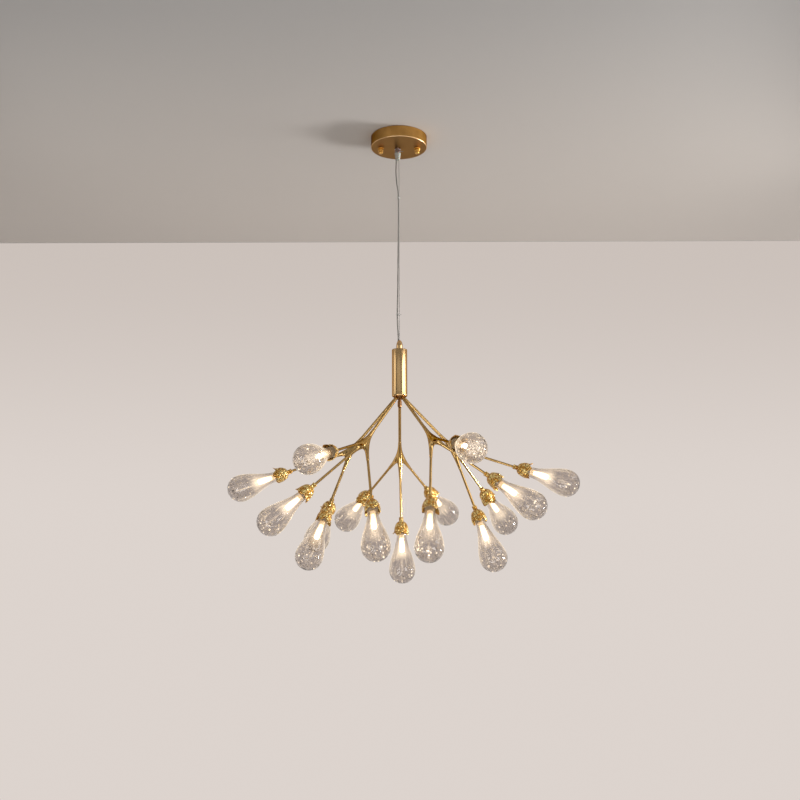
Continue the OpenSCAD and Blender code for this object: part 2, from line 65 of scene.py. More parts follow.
# %% Camera
PICTURE = 800
FOCAL_PIXELS = 1208.8
EYE = (0.0007, -2.425, -1.1236)
LOOK_UP = math.radians(12.6)
ROLL = math.radians(-0.17)
scene = bpy.context.scene
camera = bpy.data.objects.new("camera", bpy.data.cameras.new("camera"))
camera.data.sensor_width = 36
camera.data.lens = FOCAL_PIXELS / PICTURE * camera.data.sensor_width
camera.data.clip_start = 0.05
camera.data.clip_end = 60
camera.location = EYE
camera.rotation_euler = (Matrix.Rotation(math.pi / 2 + LOOK_UP, 3, "X")
                         @ Matrix.Rotation(ROLL, 3, "Z")).to_euler()
scene.collection.objects.link(camera)
scene.camera = camera
scene.view_settings.view_transform = "Standard"
print("lens:", round(camera.data.lens, 1), "mm")

# %% [markdown]
# ## Where the lights are
# Each light has an axis of its own, along its twig. The joints of the solid model hold those
# directions, and the glass drop shows where the axis lies. From these few facts comes a small
# frame for each light, with its origin at the end of the twig and +Z out along the light.

# %% Frames of the branches and lights
NECK_START = 0.020
CUP_TURN = (37, 61)


def axis_point(node, direction):
    """A point on the axis of a round solid, level with its lowest point along direction."""
    side = direction.orthogonal().normalized()
    other = direction.cross(side)
    points = [vertex.co for vertex in frame["nodes"][node].data.vertices]
    across = [point.dot(side) for point in points]
    along = [point.dot(other) for point in points]
    start = min(point.dot(direction) for point in points)
    return (side * (min(across) + max(across)) / 2
            + other * (min(along) + max(along)) / 2 + direction * start)


def crossing(point, direction, other, other_direction):
    """The point of the first line that lies nearest to the second line."""
    normal = direction.cross(other_direction)
    return point + direction * ((other - point).cross(other_direction).dot(normal)
                                / normal.length_squared)


def frame_at(origin, x_axis, z_axis):
    """A matrix that takes a piece from its own frame to its place on the lamp."""
    y_axis = z_axis.cross(x_axis)
    return Matrix.Translation(origin) @ Matrix((x_axis, y_axis, z_axis)).transposed().to_4x4()


branches = []
for number in range(1, 6):
    turn = joints[f"branch_{number}_turn"]
    ball = Vector(turn["pos_m"])
    rod = Vector(turn["axis"]).normalized()
    lights = []
    for order, letter in enumerate("abc"):
        name = f"{number}{letter}"
        out = Vector(joints[f"glass_{name}_pull"]["axis"]).normalized()
        end = axis_point(f"glass_{name}", out) - out * NECK_START
        fork = crossing(ball, rod, end, out)
        across = (out * out.dot(rod) - rod).normalized()
        degrees = CUP_TURN[0] * (number - 1) + CUP_TURN[1] * order
        spin = Matrix.Rotation(math.radians(degrees), 4, "Z")
        lights.append({"name": name, "out": out, "end": end,
                       "frame": frame_at(end, across, out) @ spin})
    branches.append({"number": number, "ball": ball, "rod": rod, "fork": fork, "lights": lights})
    print("branch", number, "reach", round((fork - ball).length, 4),
          "twigs", [round((light["end"] - fork).length, 4) for light in lights])

# %% [markdown]
# ## Helpers for making pieces
# Most of this lamp is turned on a lathe, so most pieces start as a profile that is spun about
# an axis. Cords, rods and castings are rings of points that are extruded from one to the next.
# Both stay quads, which take smooth shading and subdivision well.


# %% Turning, sweeping and keeping a mesh
def turned(profile, steps=64):
    """A mesh turned about Z from points (radius, height) in mm. A radius of 0 closes a pole."""
    mesh = bmesh.new()
    points = [mesh.verts.new((radius / 1000, 0, height / 1000)) for radius, height in profile]
    edges = [mesh.edges.new(pair) for pair in zip(points, points[1:])]
    bmesh.ops.spin(mesh, geom=points + edges, cent=(0, 0, 0), axis=(0, 0, 1), dvec=(0, 0, 0),
                   angle=2 * math.pi, steps=steps, use_merge=True)
    bmesh.ops.remove_doubles(mesh, verts=mesh.verts, dist=1e-6)
    bmesh.ops.recalc_face_normals(mesh, faces=mesh.faces)
    return mesh


def ring_of(mesh, points):
    """A closed loop of new vertices through points."""
    ring = bmesh.ops.create_circle(mesh, segments=len(points), radius=1)["verts"]
    for vertex, point in zip(ring, points):
        vertex.co = point
    return ring


def next_ring(mesh, ring, points):
    """Extrudes a loop of vertices and moves the new loop to points, in the same order."""
    edges = [mesh.edges.get(pair) for pair in zip(ring, ring[1:] + ring[:1])]
    made = bmesh.ops.extrude_edge_only(mesh, edges=edges)["geom"]
    old = set(ring)
    above = {}
    for vertex in made:
        if isinstance(vertex, bmesh.types.BMVert):
            foot = next(edge.other_vert(vertex) for edge in vertex.link_edges
                        if edge.other_vert(vertex) in old)
            above[foot] = vertex
    after = [above[vertex] for vertex in ring]
    for vertex, point in zip(after, points):
        vertex.co = point
    return after


def circle_points(centre, x_axis, y_axis, radius, count, start=0.0):
    """Points of a circle about centre."""
    angles = [start + 2 * math.pi * step / count for step in range(count)]
    return [centre + (x_axis * math.cos(angle) + y_axis * math.sin(angle)) * radius
            for angle in angles]


def swept(route, radius, sides, mesh=None):
    """A closed tube along a route of points, added to mesh."""
    mesh = mesh or bmesh.new()
    x_axis = (route[1] - route[0]).orthogonal().normalized()
    ring = None
    for place, point in enumerate(route):
        ahead = route[min(place + 1, len(route) - 1)] - route[max(place - 1, 0)]
        ahead.normalize()
        x_axis = (x_axis - ahead * x_axis.dot(ahead)).normalized()
        points = circle_points(point, x_axis, ahead.cross(x_axis), radius, sides)
        ring = next_ring(mesh, ring, points) if ring else ring_of(mesh, points)
        if place == 0:
            bmesh.ops.contextual_create(mesh, geom=ring)
    bmesh.ops.contextual_create(mesh, geom=ring)
    return mesh


def rounded(mesh, size, over=35, segments=3):
    """Rounds each edge that turns by more than over degrees."""
    sharp = [edge for edge in mesh.edges
             if edge.is_manifold and math.degrees(edge.calc_face_angle(0)) > over]
    bmesh.ops.bevel(mesh, geom=sharp, offset=size, offset_type="OFFSET", affect="EDGES",
                    segments=segments, profile=0.5, material=-1, clamp_overlap=True)
    return mesh


def join(mesh, other):
    """Adds another mesh to a mesh."""
    part = bpy.data.meshes.new("part")
    other.to_mesh(part)
    other.free()
    mesh.from_mesh(part)


def as_object(mesh, name, material):
    """Turns a bmesh into an object of the scene."""
    data = bpy.data.meshes.new(name)
    mesh.to_mesh(data)
    mesh.free()
    data.materials.append(material)
    piece = bpy.data.objects.new(name, data)
    scene.collection.objects.link(piece)
    return piece


def keep(mesh, name, body, finish, replaces=(), place=None, sharp=40, smooth=0):
    """Turns a bmesh into a finished piece that rides on a body."""
    if place:
        bmesh.ops.transform(mesh, matrix=place, verts=mesh.verts)
    bmesh.ops.recalc_face_normals(mesh, faces=mesh.faces)
    piece = as_object(mesh, name, finish)
    piece.data.shade_smooth()
    piece.data.set_sharp_from_angle(angle=math.radians(sharp))
    if smooth:
        subdivision = piece.modifiers.new("subdivision", "SUBSURF")
        subdivision.levels = smooth
        subdivision.render_levels = smooth
    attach(piece, body)
    if replaces:
        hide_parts(*replaces)
    return piece


def arc(centre_r, centre_z, radius, first, last, steps, rise=None):
    """Points (radius, height) of an arc between two angles in degrees. rise makes it an oval."""
    angles = [math.radians(first + (last - first) * step / steps) for step in range(steps + 1)]
    return [(centre_r + radius * math.cos(angle), centre_z + (rise or radius) * math.sin(angle))
            for angle in angles]


def polar(radius, angle, height=0.0):
    """The point at a radius and an angle round Z."""
    return Vector((radius * math.cos(angle), radius * math.sin(angle), height))


# %% [markdown]
# ## A short way to write materials
# A material is a net of nodes. One small class wraps a socket, so that sums and products of
# patterns read as Python and add their Math nodes, and one method adds any other node.


# %% Shader helper
class Wire:
    """An output socket of a material's node tree."""

    def __init__(self, tree, socket=None):
        self.tree = tree
        self.socket = socket

    def node(self, kind, settings=None, values=None, out=0):
        """Adds a node. Settings come first, then the values or links of its sockets."""
        made = self.tree.nodes.new(kind)
        for name, value in (settings or {}).items():
            setattr(made, name, value)
        for name, value in (values or {}).items():
            if isinstance(value, Wire):
                self.tree.links.new(value.socket, made.inputs[name])
            else:
                made.inputs[name].default_value = value
        return Wire(self.tree, made.outputs[out])

    def maths(self, operation, first, second):
        return self.node("ShaderNodeMath", {"operation": operation}, {0: first, 1: second})

    def __add__(self, other):
        return self.maths("ADD", self, other)

    def __radd__(self, other):
        return self.maths("ADD", other, self)

    def __sub__(self, other):
        return self.maths("SUBTRACT", self, other)

    def __rsub__(self, other):
        return self.maths("SUBTRACT", other, self)

    def __mul__(self, other):
        return self.maths("MULTIPLY", self, other)

    def __rmul__(self, other):
        return self.maths("MULTIPLY", other, self)

    def __pow__(self, other):
        return self.maths("POWER", self, other)

    def above(self, edge, width):
        """0 below edge, 1 past edge + width, and smooth between."""
        return self.node("ShaderNodeMapRange", {"interpolation_type": "SMOOTHSTEP"},
                         {"Value": self, "From Min": edge, "From Max": edge + width})

    def noise(self, scale, detail=3.0, stretch=(1, 1, 1), place=None):
        """A cloudy pattern fixed to the piece, from 0 to 1."""
        return self.node("ShaderNodeTexNoise", None,
                         {"Vector": self.spot(stretch, place), "Scale": scale, "Detail": detail})

    def spot(self, stretch=(1, 1, 1), place=None):
        """The place on the piece, in metres, stretched along its axes."""
        place = place or self.node("ShaderNodeTexCoord", out="Object")
        return self.node("ShaderNodeMapping", None, {"Vector": place, "Scale": stretch})

    def carried(self, name):
        """A vector that the mesh carries at each of its vertices."""
        return self.node("ShaderNodeAttribute", {"attribute_name": name}, out="Vector")

    def part(self, axis):
        """One of the three numbers of this vector."""
        return self.node("ShaderNodeSeparateXYZ", None, {"Vector": self}, out=axis)

    def cells(self, scale, feature="F1"):
        """Distance to the nearest of many scattered points, or to the edge between two."""
        return self.node("ShaderNodeTexVoronoi", {"feature": feature},
                         {"Vector": self.spot(), "Scale": scale}, out="Distance")

    def mix(self, first, second):
        """A colour between two colours, with this pattern as the share of the second."""
        made = self.node("ShaderNodeMix", {"data_type": "RGBA"}, {"Factor": self}, out=2)
        for name, colour in ((6, first), (7, second)):
            socket = made.socket.node.inputs[name]
            if isinstance(colour, Wire):
                self.tree.links.new(colour.socket, socket)
            else:
                socket.default_value = (*colour, 1)
        return made

    def bump(self, depth, under=None):
        """A surface normal from this height pattern, with depth in metres."""
        values = {"Height": self, "Distance": depth}
        if under:
            values["Normal"] = under
        return self.node("ShaderNodeBump", None, values)


def finish_of(name, constants, pattern):
    """A material: constants sit on the shader's own sockets, and pattern returns its links."""
    material = bpy.data.materials.new(name)
    material.use_nodes = True
    tree = material.node_tree
    shader = tree.nodes["Principled BSDF"]
    for socket, value in constants.items():
        shader.inputs[socket].default_value = value
    for socket, wire in pattern(Wire(tree)).items():
        tree.links.new(wire.socket, shader.inputs[socket])
    return material


# %% [markdown]
# ## Metals
# The rods and tube are lacquered brass, the leaf cups are covered in crinkled gold leaf, and
# the ceiling cup is sprayed a satin gold. A metal is mostly what it reflects, so the work is in
# its roughness: fine drawing lines on the tube, a cast grain on the branches, and folds in the
# leaf, with painted shade along them. A dark tint for grazing light gives tube and rods their
# brown edges.


# %% Brass and gold
def tube_pattern(wire):
    lines = wire.noise(900, 2, (1, 1, 0.02))
    clouds = wire.noise(28, 3)
    return {"Base Color": clouds.mix((0.76, 0.48, 0.21), (0.86, 0.59, 0.30)),
            "Roughness": 0.09 + 0.06 * lines + 0.05 * clouds,
            "Normal": lines.bump(0.00001)}


def branch_pattern(wire):
    grain = wire.noise(700, 4)
    clouds = wire.noise(45, 3)
    return {"Base Color": clouds.mix((0.50, 0.30, 0.09), (0.80, 0.55, 0.24)),
            "Roughness": 0.07 + 0.06 * grain + 0.04 * clouds,
            "Normal": grain.bump(0.00003)}


def leaf_pattern(wire):
    folds_with_painted_shade = wire.cells(150, "DISTANCE_TO_EDGE").above(0.0, 0.14)
    crinkle = wire.noise(210, 3)
    patches = wire.noise(150, 3).above(0.42, 0.16)
    gold = patches.mix((0.74, 0.38, 0.06), (1.0, 0.80, 0.33))
    # Painted shade: the fold lines of the leaf are a darker colour, while the bump shapes them.
    return {"Base Color": folds_with_painted_shade.mix((0.48, 0.21, 0.035), gold),
            "Roughness": 0.26 - 0.08 * folds_with_painted_shade + 0.12 * crinkle,
            "Normal": crinkle.bump(0.0020, folds_with_painted_shade.bump(0.0012))}


CUP_EDGE = -0.0250


def canopy_pattern(wire):
    flakes = wire.noise(2600, 2)
    skin = wire.noise(420, 2)
    clouds = wire.noise(38, 4)
    share = 0.35 * flakes + 0.65 * clouds.above(0.3, 0.4)
    height = wire.spot().part("Z")
    # Painted highlight: a light band along the rounded lower edge of the cup.
    painted_rim_highlight = height.above(CUP_EDGE, 0.0007) * (1 - height.above(CUP_EDGE + 0.0010, 0.0007))
    gold = share.mix((0.47, 0.25, 0.07), (0.67, 0.385, 0.118))
    # Painted shade: the flat underside of the cup is darker than its side.
    face = 1 - height.above(CUP_EDGE - 0.0001, 0.0004)
    paint = (0.85 * face).mix(gold, (0.30, 0.21, 0.135))
    return {"Base Color": (0.8 * painted_rim_highlight).mix(paint, (0.90, 0.66, 0.40)),
            "Roughness": 0.30 + 0.12 * clouds,
            "Normal": skin.bump(0.00006)}


def hub_pattern_with_painted_shade(wire):
    clouds = wire.noise(60, 3)
    # A darker brass for the ball and its finial, partly painted shade from the arms that hang round
    # them.
    return {"Base Color": clouds.mix((0.26, 0.12, 0.05), (0.42, 0.23, 0.10)),
            "Roughness": 0.16 + 0.12 * clouds}


def nut_pattern(wire):
    lines = wire.noise(1500, 2, (1, 1, 4))
    clouds = wire.noise(120, 2)
    return {"Base Color": clouds.mix((0.58, 0.30, 0.06), (0.80, 0.48, 0.14)),
            "Roughness": 0.20 + 0.14 * lines}


POLISHED = {"Metallic": 1.0, "Specular Tint": (0.30, 0.18, 0.08, 1)}
SPRAYED = {"Metallic": 1.0, "Specular Tint": (0.20, 0.12, 0.05, 1)}
CAST = {"Metallic": 1.0, "Specular Tint": (0.16, 0.08, 0.03, 1)}
tube_brass = finish_of("tube_brass", POLISHED, tube_pattern)
branch_brass = finish_of("branch_brass", CAST, branch_pattern)
leaf_gold = finish_of("leaf_gold", {"Metallic": 0.62}, leaf_pattern)
canopy_gold = finish_of("canopy_gold", SPRAYED, canopy_pattern)
hub_brass_with_painted_shade = finish_of("hub_brass_with_painted_shade", POLISHED, hub_pattern_with_painted_shade)
nut_brass = finish_of("nut_brass", {"Metallic": 1.0}, nut_pattern)
print("materials with brass and gold:", len(bpy.data.materials))


# %% Steel and chrome
def steel_pattern(wire):
    spangle = wire.cells(160)
    lines = wire.noise(600, 3, (1, 0.1, 1))
    return {"Base Color": spangle.mix((0.50, 0.51, 0.53), (0.66, 0.67, 0.69)),
            "Roughness": 0.28 + 0.2 * lines,
            "Normal": lines.bump(0.00003)}


def chrome_pattern(wire):
    clouds = wire.noise(160, 2)
    return {"Base Color": clouds.mix((0.32, 0.29, 0.32), (0.50, 0.47, 0.50)),
            "Roughness": 0.16 + 0.12 * clouds}


def wire_pattern(wire):
    grime = wire.noise(300, 3)
    return {"Base Color": grime.mix((0.30, 0.29, 0.28), (0.46, 0.45, 0.44)),
            "Roughness": 0.30 + 0.15 * grime}


crossbar_steel = finish_of("crossbar_steel", {"Metallic": 1.0}, steel_pattern)
gripper_chrome = finish_of("gripper_chrome", {"Metallic": 1.0}, chrome_pattern)
wire_steel = finish_of("wire_steel", {"Metallic": 0.9}, wire_pattern)
print("with steel and chrome:", len(bpy.data.materials))

# %% [markdown]
# ## Plastics, glass and light
# Clear plastic and glass are the same kind of material: mostly transmission, and a bump that
# bends what shows through. The drops have ripples, and small seeds blown into their round ends.
# A bulb is one opaque glowing capsule, white where it faces the eye and peach at its sides. The
# glass carries painted light where a lit bulb stands in it: a faint painted glow, with painted
# bright edges, streaks and sparks. This painted light stays with the glass, so it is also there
# when the glass is pulled off.


# %% Plastics
def moulded(dark, light, rough):
    """A pattern for moulded plastic: faint clouds, and a fine spark texture."""
    def pattern(wire):
        clouds = wire.noise(60, 3)
        texture = wire.noise(1800, 2)
        return {"Base Color": clouds.mix(dark, light),
                "Roughness": rough + 0.12 * texture,
                "Normal": texture.bump(0.00003)}
    return pattern


def clear_skin(scale, depth, dark, light, rough):
    """A pattern for a clear moulding: a faint tint and a rippled skin."""
    def pattern(wire):
        ripple = wire.noise(scale, 2)
        return {"Base Color": ripple.mix(dark, light),
                "Roughness": rough + 0.05 * ripple,
                "Normal": ripple.bump(depth)}
    return pattern


CLEAR = {"Transmission Weight": 1.0, "IOR": 1.45}
grip_plastic = finish_of("grip_plastic", {"Subsurface Weight": 0.3, "Subsurface Scale": 0.004},
                         moulded((0.31, 0.32, 0.29), (0.39, 0.40, 0.36), 0.6))
driver_plastic = finish_of("driver_plastic", {},
                           moulded((0.74, 0.74, 0.72), (0.80, 0.80, 0.78), 0.5))
terminal_plastic = finish_of("terminal_plastic", {},
                             moulded((0.66, 0.62, 0.5), (0.73, 0.69, 0.57), 0.4))
holder_plastic = finish_of("holder_plastic", {},
                           moulded((0.44, 0.32, 0.19), (0.56, 0.43, 0.28), 0.35))
clear_cord = finish_of("clear_cord", {**CLEAR, "Transmission Weight": 0.75},
                       clear_skin(500, 0.0001, (0.50, 0.49, 0.46), (0.62, 0.61, 0.58), 0.12))
clip_plastic = finish_of("clip_plastic", {**CLEAR, "Transmission Weight": 0.6},
                         clear_skin(400, 0.0001, (0.72, 0.72, 0.70), (0.84, 0.84, 0.82), 0.2))
print("with plastics:", len(bpy.data.materials))


# %% Glass and the lit bulb
def glass_pattern(wire):
    # Heights are from the end of the twig. The bulb reaches from 0.036 to 0.076 m.
    place = wire.carried("place")
    height = place.part("Z")
    blown = height.above(0.055, 0.07)
    seeds = (1 - wire.cells(170).above(0.09, 0.16)) * blown
    dimples = wire.noise(130, 1.0) * blown
    ripple = wire.noise(45, 1.5)
    faint = wire.noise(20, 2)
    skin = seeds.bump(0.0013, dimples.bump(0.0010, ripple.bump(0.0016)))
    # Painted light: the glass emits the bulb's light, as a halo round the bulb, a faint glow in the
    # neck, bright rims, streaks below the bulb and sparks in the round end.
    edge = wire.node("ShaderNodeLayerWeight", None, {"Blend": 0.5}, out=1)
    halo = (1 - edge) ** 7 * height.above(0.034, 0.030) * (1 - height.above(0.074, 0.018))
    neck = 1 - height.above(0.034, 0.012)
    rim = edge ** 4 * height.above(0.035, 0.03) * (1 - height.above(0.10, 0.03))
    below = height.above(0.066, 0.015) * (1 - height.above(0.115, 0.02))
    painted_streak = wire.noise(210, 1, (1, 1, 0.05), place).above(0.60, 0.05) * below * (1 - edge)
    spark = (1 - wire.cells(110).above(0.16, 0.07)) * wire.noise(60, 1).above(0.46, 0.06)
    glow = (0.42 * halo + 0.06 * neck + 0.6 * rim + 0.20 * painted_streak
            + 0.9 * spark * height.above(0.102, 0.02))
    return {"Base Color": faint.mix((0.69, 0.655, 0.635), (0.75, 0.715, 0.695)),
            "Emission Color": glow.mix((0, 0, 0), (1.0, 0.80, 0.54)), "Normal": skin}


def envelope_pattern(wire):
    height = wire.carried("place").part("Z")
    edge = wire.node("ShaderNodeLayerWeight", None, {"Blend": 0.5}, out=1)
    hot = ((1 - edge) ** 2 * (0.45 + 0.65 * height.above(0.042, 0.026))).above(0.05, 0.75)
    return {"Base Color": hot.mix((1.0, 0.84, 0.66), (1.0, 0.90, 0.76)),
            "Emission Color": hot.mix((0.17, 0.115, 0.06), (1.0, 0.90, 0.70))}


def foot_painted_glow_pattern(wire):
    clouds = wire.noise(200, 2)
    return {"Base Color": clouds.mix((0.78, 0.70, 0.55), (0.86, 0.80, 0.66)),
            # Painted glow: the plastic foot emits a warm light that stands in for the bulb's light
            # on it.
            "Emission Color": clouds.mix((1.0, 0.62, 0.26), (1.0, 0.74, 0.42))}


core_copper = finish_of("core_copper", {"Metallic": 1.0}, wire_pattern)
base_plastic = finish_of("base_plastic", {"Roughness": 0.4, "Emission Strength": 0.8}, foot_painted_glow_pattern)
clear_glass = finish_of("clear_glass", {"Transmission Weight": 1.0, "Roughness": 0.0, "IOR": 1.47,
                                        "Emission Strength": 1.0}, glass_pattern)
bulb_frost = finish_of("bulb_frost", {"Roughness": 0.5, "Emission Strength": 6.0}, envelope_pattern)
print("with glass, bulb and copper:", len(bpy.data.materials))

# %% [markdown]
# ## Solids that stay
# The ceiling cup, the steel bar, the ball, the driver, the terminal, the hidden end of the cord
# and the lamp holders already have their real shapes in the solid model, and stay. Each solid
# gets the finish it has in life, also those that a finer piece replaces further on.

# %% Finishes of the carried-over solids
FINISHES = {"ceiling_bracket": crossbar_steel, "canopy_cup": canopy_gold,
            "cap_nut_left": nut_brass, "cap_nut_right": nut_brass,
            "cable_gripper": gripper_chrome, "cord_grip": grip_plastic,
            "lamp_driver": driver_plastic, "terminal_block": terminal_plastic,
            "cord_tail": clear_cord, "suspension_wire": wire_steel, "power_cord": clear_cord,
            "cord_clips": clip_plastic, "top_nipple": tube_brass, "centre_tube": tube_brass,
            "branch_hub": hub_brass_with_painted_shade}
for name, node in frame["nodes"].items():
    kind = name.rstrip("12345abc").rstrip("_")
    finish = FINISHES.get(name) or {"branch": branch_brass, "leaf_cups": leaf_gold,
                                    "lamp_holders": holder_plastic, "glass": clear_glass,
                                    "bulb": bulb_frost}[kind]
    node.data.materials.clear()
    node.data.materials.append(finish)
print("carried-over solids with a finish:", len(frame["nodes"]))

# %% [markdown]
# ## The ceiling cup and its fittings
# The cup is a spinning in thin sheet: a flat face, a straight side, and a lower edge turned over
# a small radius, with a painted highlight along that edge and painted shade on the flat face. It
# stays as the solid model has it. The two turned nuts, the cable gripper and the plastic grip are
# small, but they sit in the middle of the view, so they are made again with the knurls, hexagons
# and rounded edges of a lathe and a mould.

# %% Turned nuts
CUP_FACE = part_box("canopy_cup")[0].z
NUT_PROFILE = [(0.0, 0.3), (6.3, 0.3), (6.8, 0.4), (7.0, 0.7), (7.0, 1.5), (6.8, 1.8), (6.2, 2.0),
               (5.7, 2.1), (5.7, 2.4), (6.0, 2.8), (6.3, 3.3), (6.4, 3.9), (6.5, 4.7), (6.4, 5.7),
               (6.2, 6.4), (5.7, 7.0), (5.0, 7.5), (4.5, 7.8), (4.4, 8.1), (4.5, 8.5), (4.8, 9.0),
               (5.1, 9.6), (5.2, 10.3), (5.1, 11.1), (4.7, 11.9), (4.1, 12.6), (3.2, 13.1),
               (2.1, 13.4), (1.0, 13.55), (0.0, 13.6)]
KNURLED = (3.2, 5.8)
FLUTES = 30


def flutes(mesh, low, high, depth, count):
    """Cuts fine straight flutes into the turned surface between two heights."""
    for vertex in mesh.verts:
        if low <= vertex.co.z <= high:
            wave = math.cos(count * math.atan2(vertex.co.y, vertex.co.x))
            vertex.co.xy *= 1 - depth * (1 - wave) / 2


for side, name, body in ((-1, "left", "nut_left"), (1, "right", "nut_right")):
    nut = turned([(radius, -height) for radius, height in NUT_PROFILE], 4 * FLUTES)
    flutes(nut, -KNURLED[1] / 1000, -KNURLED[0] / 1000, 0.05, FLUTES)
    low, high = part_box(f"cap_nut_{name}")
    middle = Vector(((low.x + high.x) / 2, (low.y + high.y) / 2, CUP_FACE))
    keep(nut, f"nut_{name}", body, nut_brass, [f"cap_nut_{name}"],
         Matrix.Translation(middle), sharp=50)
print("nuts of", len(NUT_PROFILE), "rings with", FLUTES, "flutes")

# %% Cable gripper and grip
GRIPPER_AXIS = Vector(((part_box("cord_grip")[0].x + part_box("cord_grip")[1].x) / 2, 0, CUP_FACE))
GRIPPER_PROFILE = [(0, 9), (4.9, 9), (5.3, 8.6), (5.4, 8), (5.4, -4.6), (5.0, -4.9), (5.0, -5.5),
                   (5.7, -5.9), (6.0, -6.3), (6.0, -9.0), (5.7, -9.4), (5.0, -9.7), (5.0, -10.2),
                   (5.4, -10.5), (5.4, -11.7), (5.1, -12), (0, -12)]
GRIPPER_KNURL = (-0.0091, -0.0062)
HEX_NUTS = ((-4.5, -0.3), (1.3, 4.2))
HEX_R = 0.007
gripper = turned(GRIPPER_PROFILE, 96)
flutes(gripper, *GRIPPER_KNURL, 0.05, 24)
for low, high in HEX_NUTS:
    nut = bmesh.new()
    ring = bmesh.ops.create_circle(nut, segments=6, radius=HEX_R, cap_ends=True)["verts"]
    bmesh.ops.translate(nut, vec=(0, 0, low / 1000), verts=ring)
    raised = bmesh.ops.extrude_face_region(nut, geom=nut.faces[:])["geom"]
    bmesh.ops.translate(nut, vec=(0, 0, (high - low) / 1000),
                        verts=[part for part in raised if isinstance(part, bmesh.types.BMVert)])
    bmesh.ops.recalc_face_normals(nut, faces=nut.faces)
    rounded(nut, 0.0004)
    join(gripper, nut)
keep(gripper, "gripper", "canopy", gripper_chrome, ["cable_gripper"],
     Matrix.Translation(GRIPPER_AXIS), sharp=35)

GRIP_PROFILE = ([(0, -28), (4.2, -28)] + arc(4.2, -27.3, 0.7, -90, 0, 3)
                + [(5.2, -25.0), (4.95, -24.6), (4.95, -24.2), (5.4, -23.8), (5.55, -21.4),
                   (5.3, -21), (5.3, -20.6), (5.75, -20.2), (5.9, -17.6), (6.0, -16)]
                + arc(5.9, -15.1, 0.6, -60, 0, 3) + arc(5.9, -12.6, 0.6, 0, 90, 3) + [(0, -12)])
grip = turned(GRIP_PROFILE)
keep(grip, "grip", "canopy", grip_plastic, ["cord_grip"],
     Matrix.Translation(GRIPPER_AXIS), sharp=50)
print("gripper at", [round(value, 4) for value in GRIPPER_AXIS])

# %% [markdown]
# ## The wire and the cord
# The lamp hangs on a thin rope of six steel strands. Each strand is a helix, so it is swept along
# a route of points that turns round the middle. The clear cord beside it is a soft tube with two
# twisted cores inside. It leaves the grip beside the wire, bows out, and is clipped to the wire
# twice, so the lamp holds it all the way and it follows the same route as in the solid model.

# %% Wire
GRIP_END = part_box("cord_grip")[0].z
NIPPLE_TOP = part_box("top_nipple")[1].z
WIRE_ENDS = (GRIP_END + 0.001, NIPPLE_TOP - 0.008)
STRANDS = 6
STRAND_R = 0.0002
LAY = 0.009
STEPS = 12
WIRE_EXIT = -0.0077
CUT_END = 0.0125


def strands(start, end):
    """A rope down the Z axis. Each strand is a helix, with STEPS points to a turn."""
    mesh = bmesh.new()
    count = round((start - end) / LAY * STEPS)
    for strand in range(STRANDS):
        swept([polar(2 * STRAND_R, 2 * math.pi * (step / STEPS + strand / STRANDS),
                     start + (end - start) * step / count) for step in range(count + 1)],
              STRAND_R, 5, mesh)
    return mesh


keep(strands(*WIRE_ENDS), "hanging_wire", "pendant", wire_steel,
     ["suspension_wire"], sharp=180)
keep(strands(CUT_END, 0.0), "cut_wire_end", "canopy", wire_steel, sharp=180,
     place=Matrix.Translation(GRIPPER_AXIS + Vector((0, 0, WIRE_EXIT)))
     @ Matrix.Rotation(math.pi / 2, 4, "Y"))
print("wire of", STRANDS, "strands,", round(WIRE_ENDS[0] - WIRE_ENDS[1], 3), "m")

# %% Cord
START = GRIP_END * 1000
END = NIPPLE_TOP * 1000
CLIPS_AT = (0.215, 0.862)
CORD_R = 0.0015
CORE_R = 0.00042
CORE_OUT = 0.00055
CORE_TWIST = 0.33


def down(share):
    """The height, in mm, at a share of the way from the grip to the nipple."""
    return START + share * (END - START)


CORD_ROUTE = [(-5.6, 0, START + 1.1), (-6, 0, down(0.022)), (-6.4, 0, down(0.077)),
              (-4.8, -0.6, down(0.13)), (-2.2, -1.6, down(0.18)), (-1.6, -1.8, down(0.21)),
              (-1.4, -1.8, down(0.24)), (-1.4, -1.7, down(0.36)), (-2.2, -1, down(0.51)),
              (-3.2, -0.4, down(0.73)), (-4.2, 0, down(0.845)), (-4.2, 0, down(0.88)),
              (-3.6, 0, down(0.93)), (-2.6, 0, END + 12), (-2.4, 0, END + 2), (-2.4, 0, END - 8)]


def smooth_route(points, steps):
    """A curve through points, in metres, with steps points from one to the next."""
    knots = [Vector(point) / 1000 for point in points]
    last = len(knots) - 1
    route = []
    for place in range(last):
        a, b, c, d = (knots[max(place - 1, 0)], knots[place], knots[place + 1],
                      knots[min(place + 2, last)])
        for step in range(steps):
            t = step / steps
            route.append(0.5 * (2 * b + (c - a) * t + (2 * a - 5 * b + 4 * c - d) * t * t
                                + (3 * b - a - 3 * c + d) * t ** 3))
    return route + [knots[last]]


route = smooth_route(CORD_ROUTE, 6)
keep(swept(route, CORD_R, 20), "clear_cord", "pendant", clear_cord, ["power_cord"],
     sharp=70)
cores = bmesh.new()
fine = smooth_route(CORD_ROUTE, 24)
for phase in (0, math.pi):
    twisted = [point + polar(CORE_OUT, step * CORE_TWIST + phase)
               for step, point in enumerate(fine)]
    swept(twisted, CORE_R, 6, cores)
keep(cores, "cord_cores", "pendant", core_copper, sharp=180)
print("cord of", round(sum((b - a).length for a, b in zip(route, route[1:])), 3), "m")


# %% Clips
BAND_SIDE = ((-1.6, 0.35), (-1.45, 0.12), (-1.1, 0), (1.1, 0), (1.45, 0.12), (1.6, 0.35))


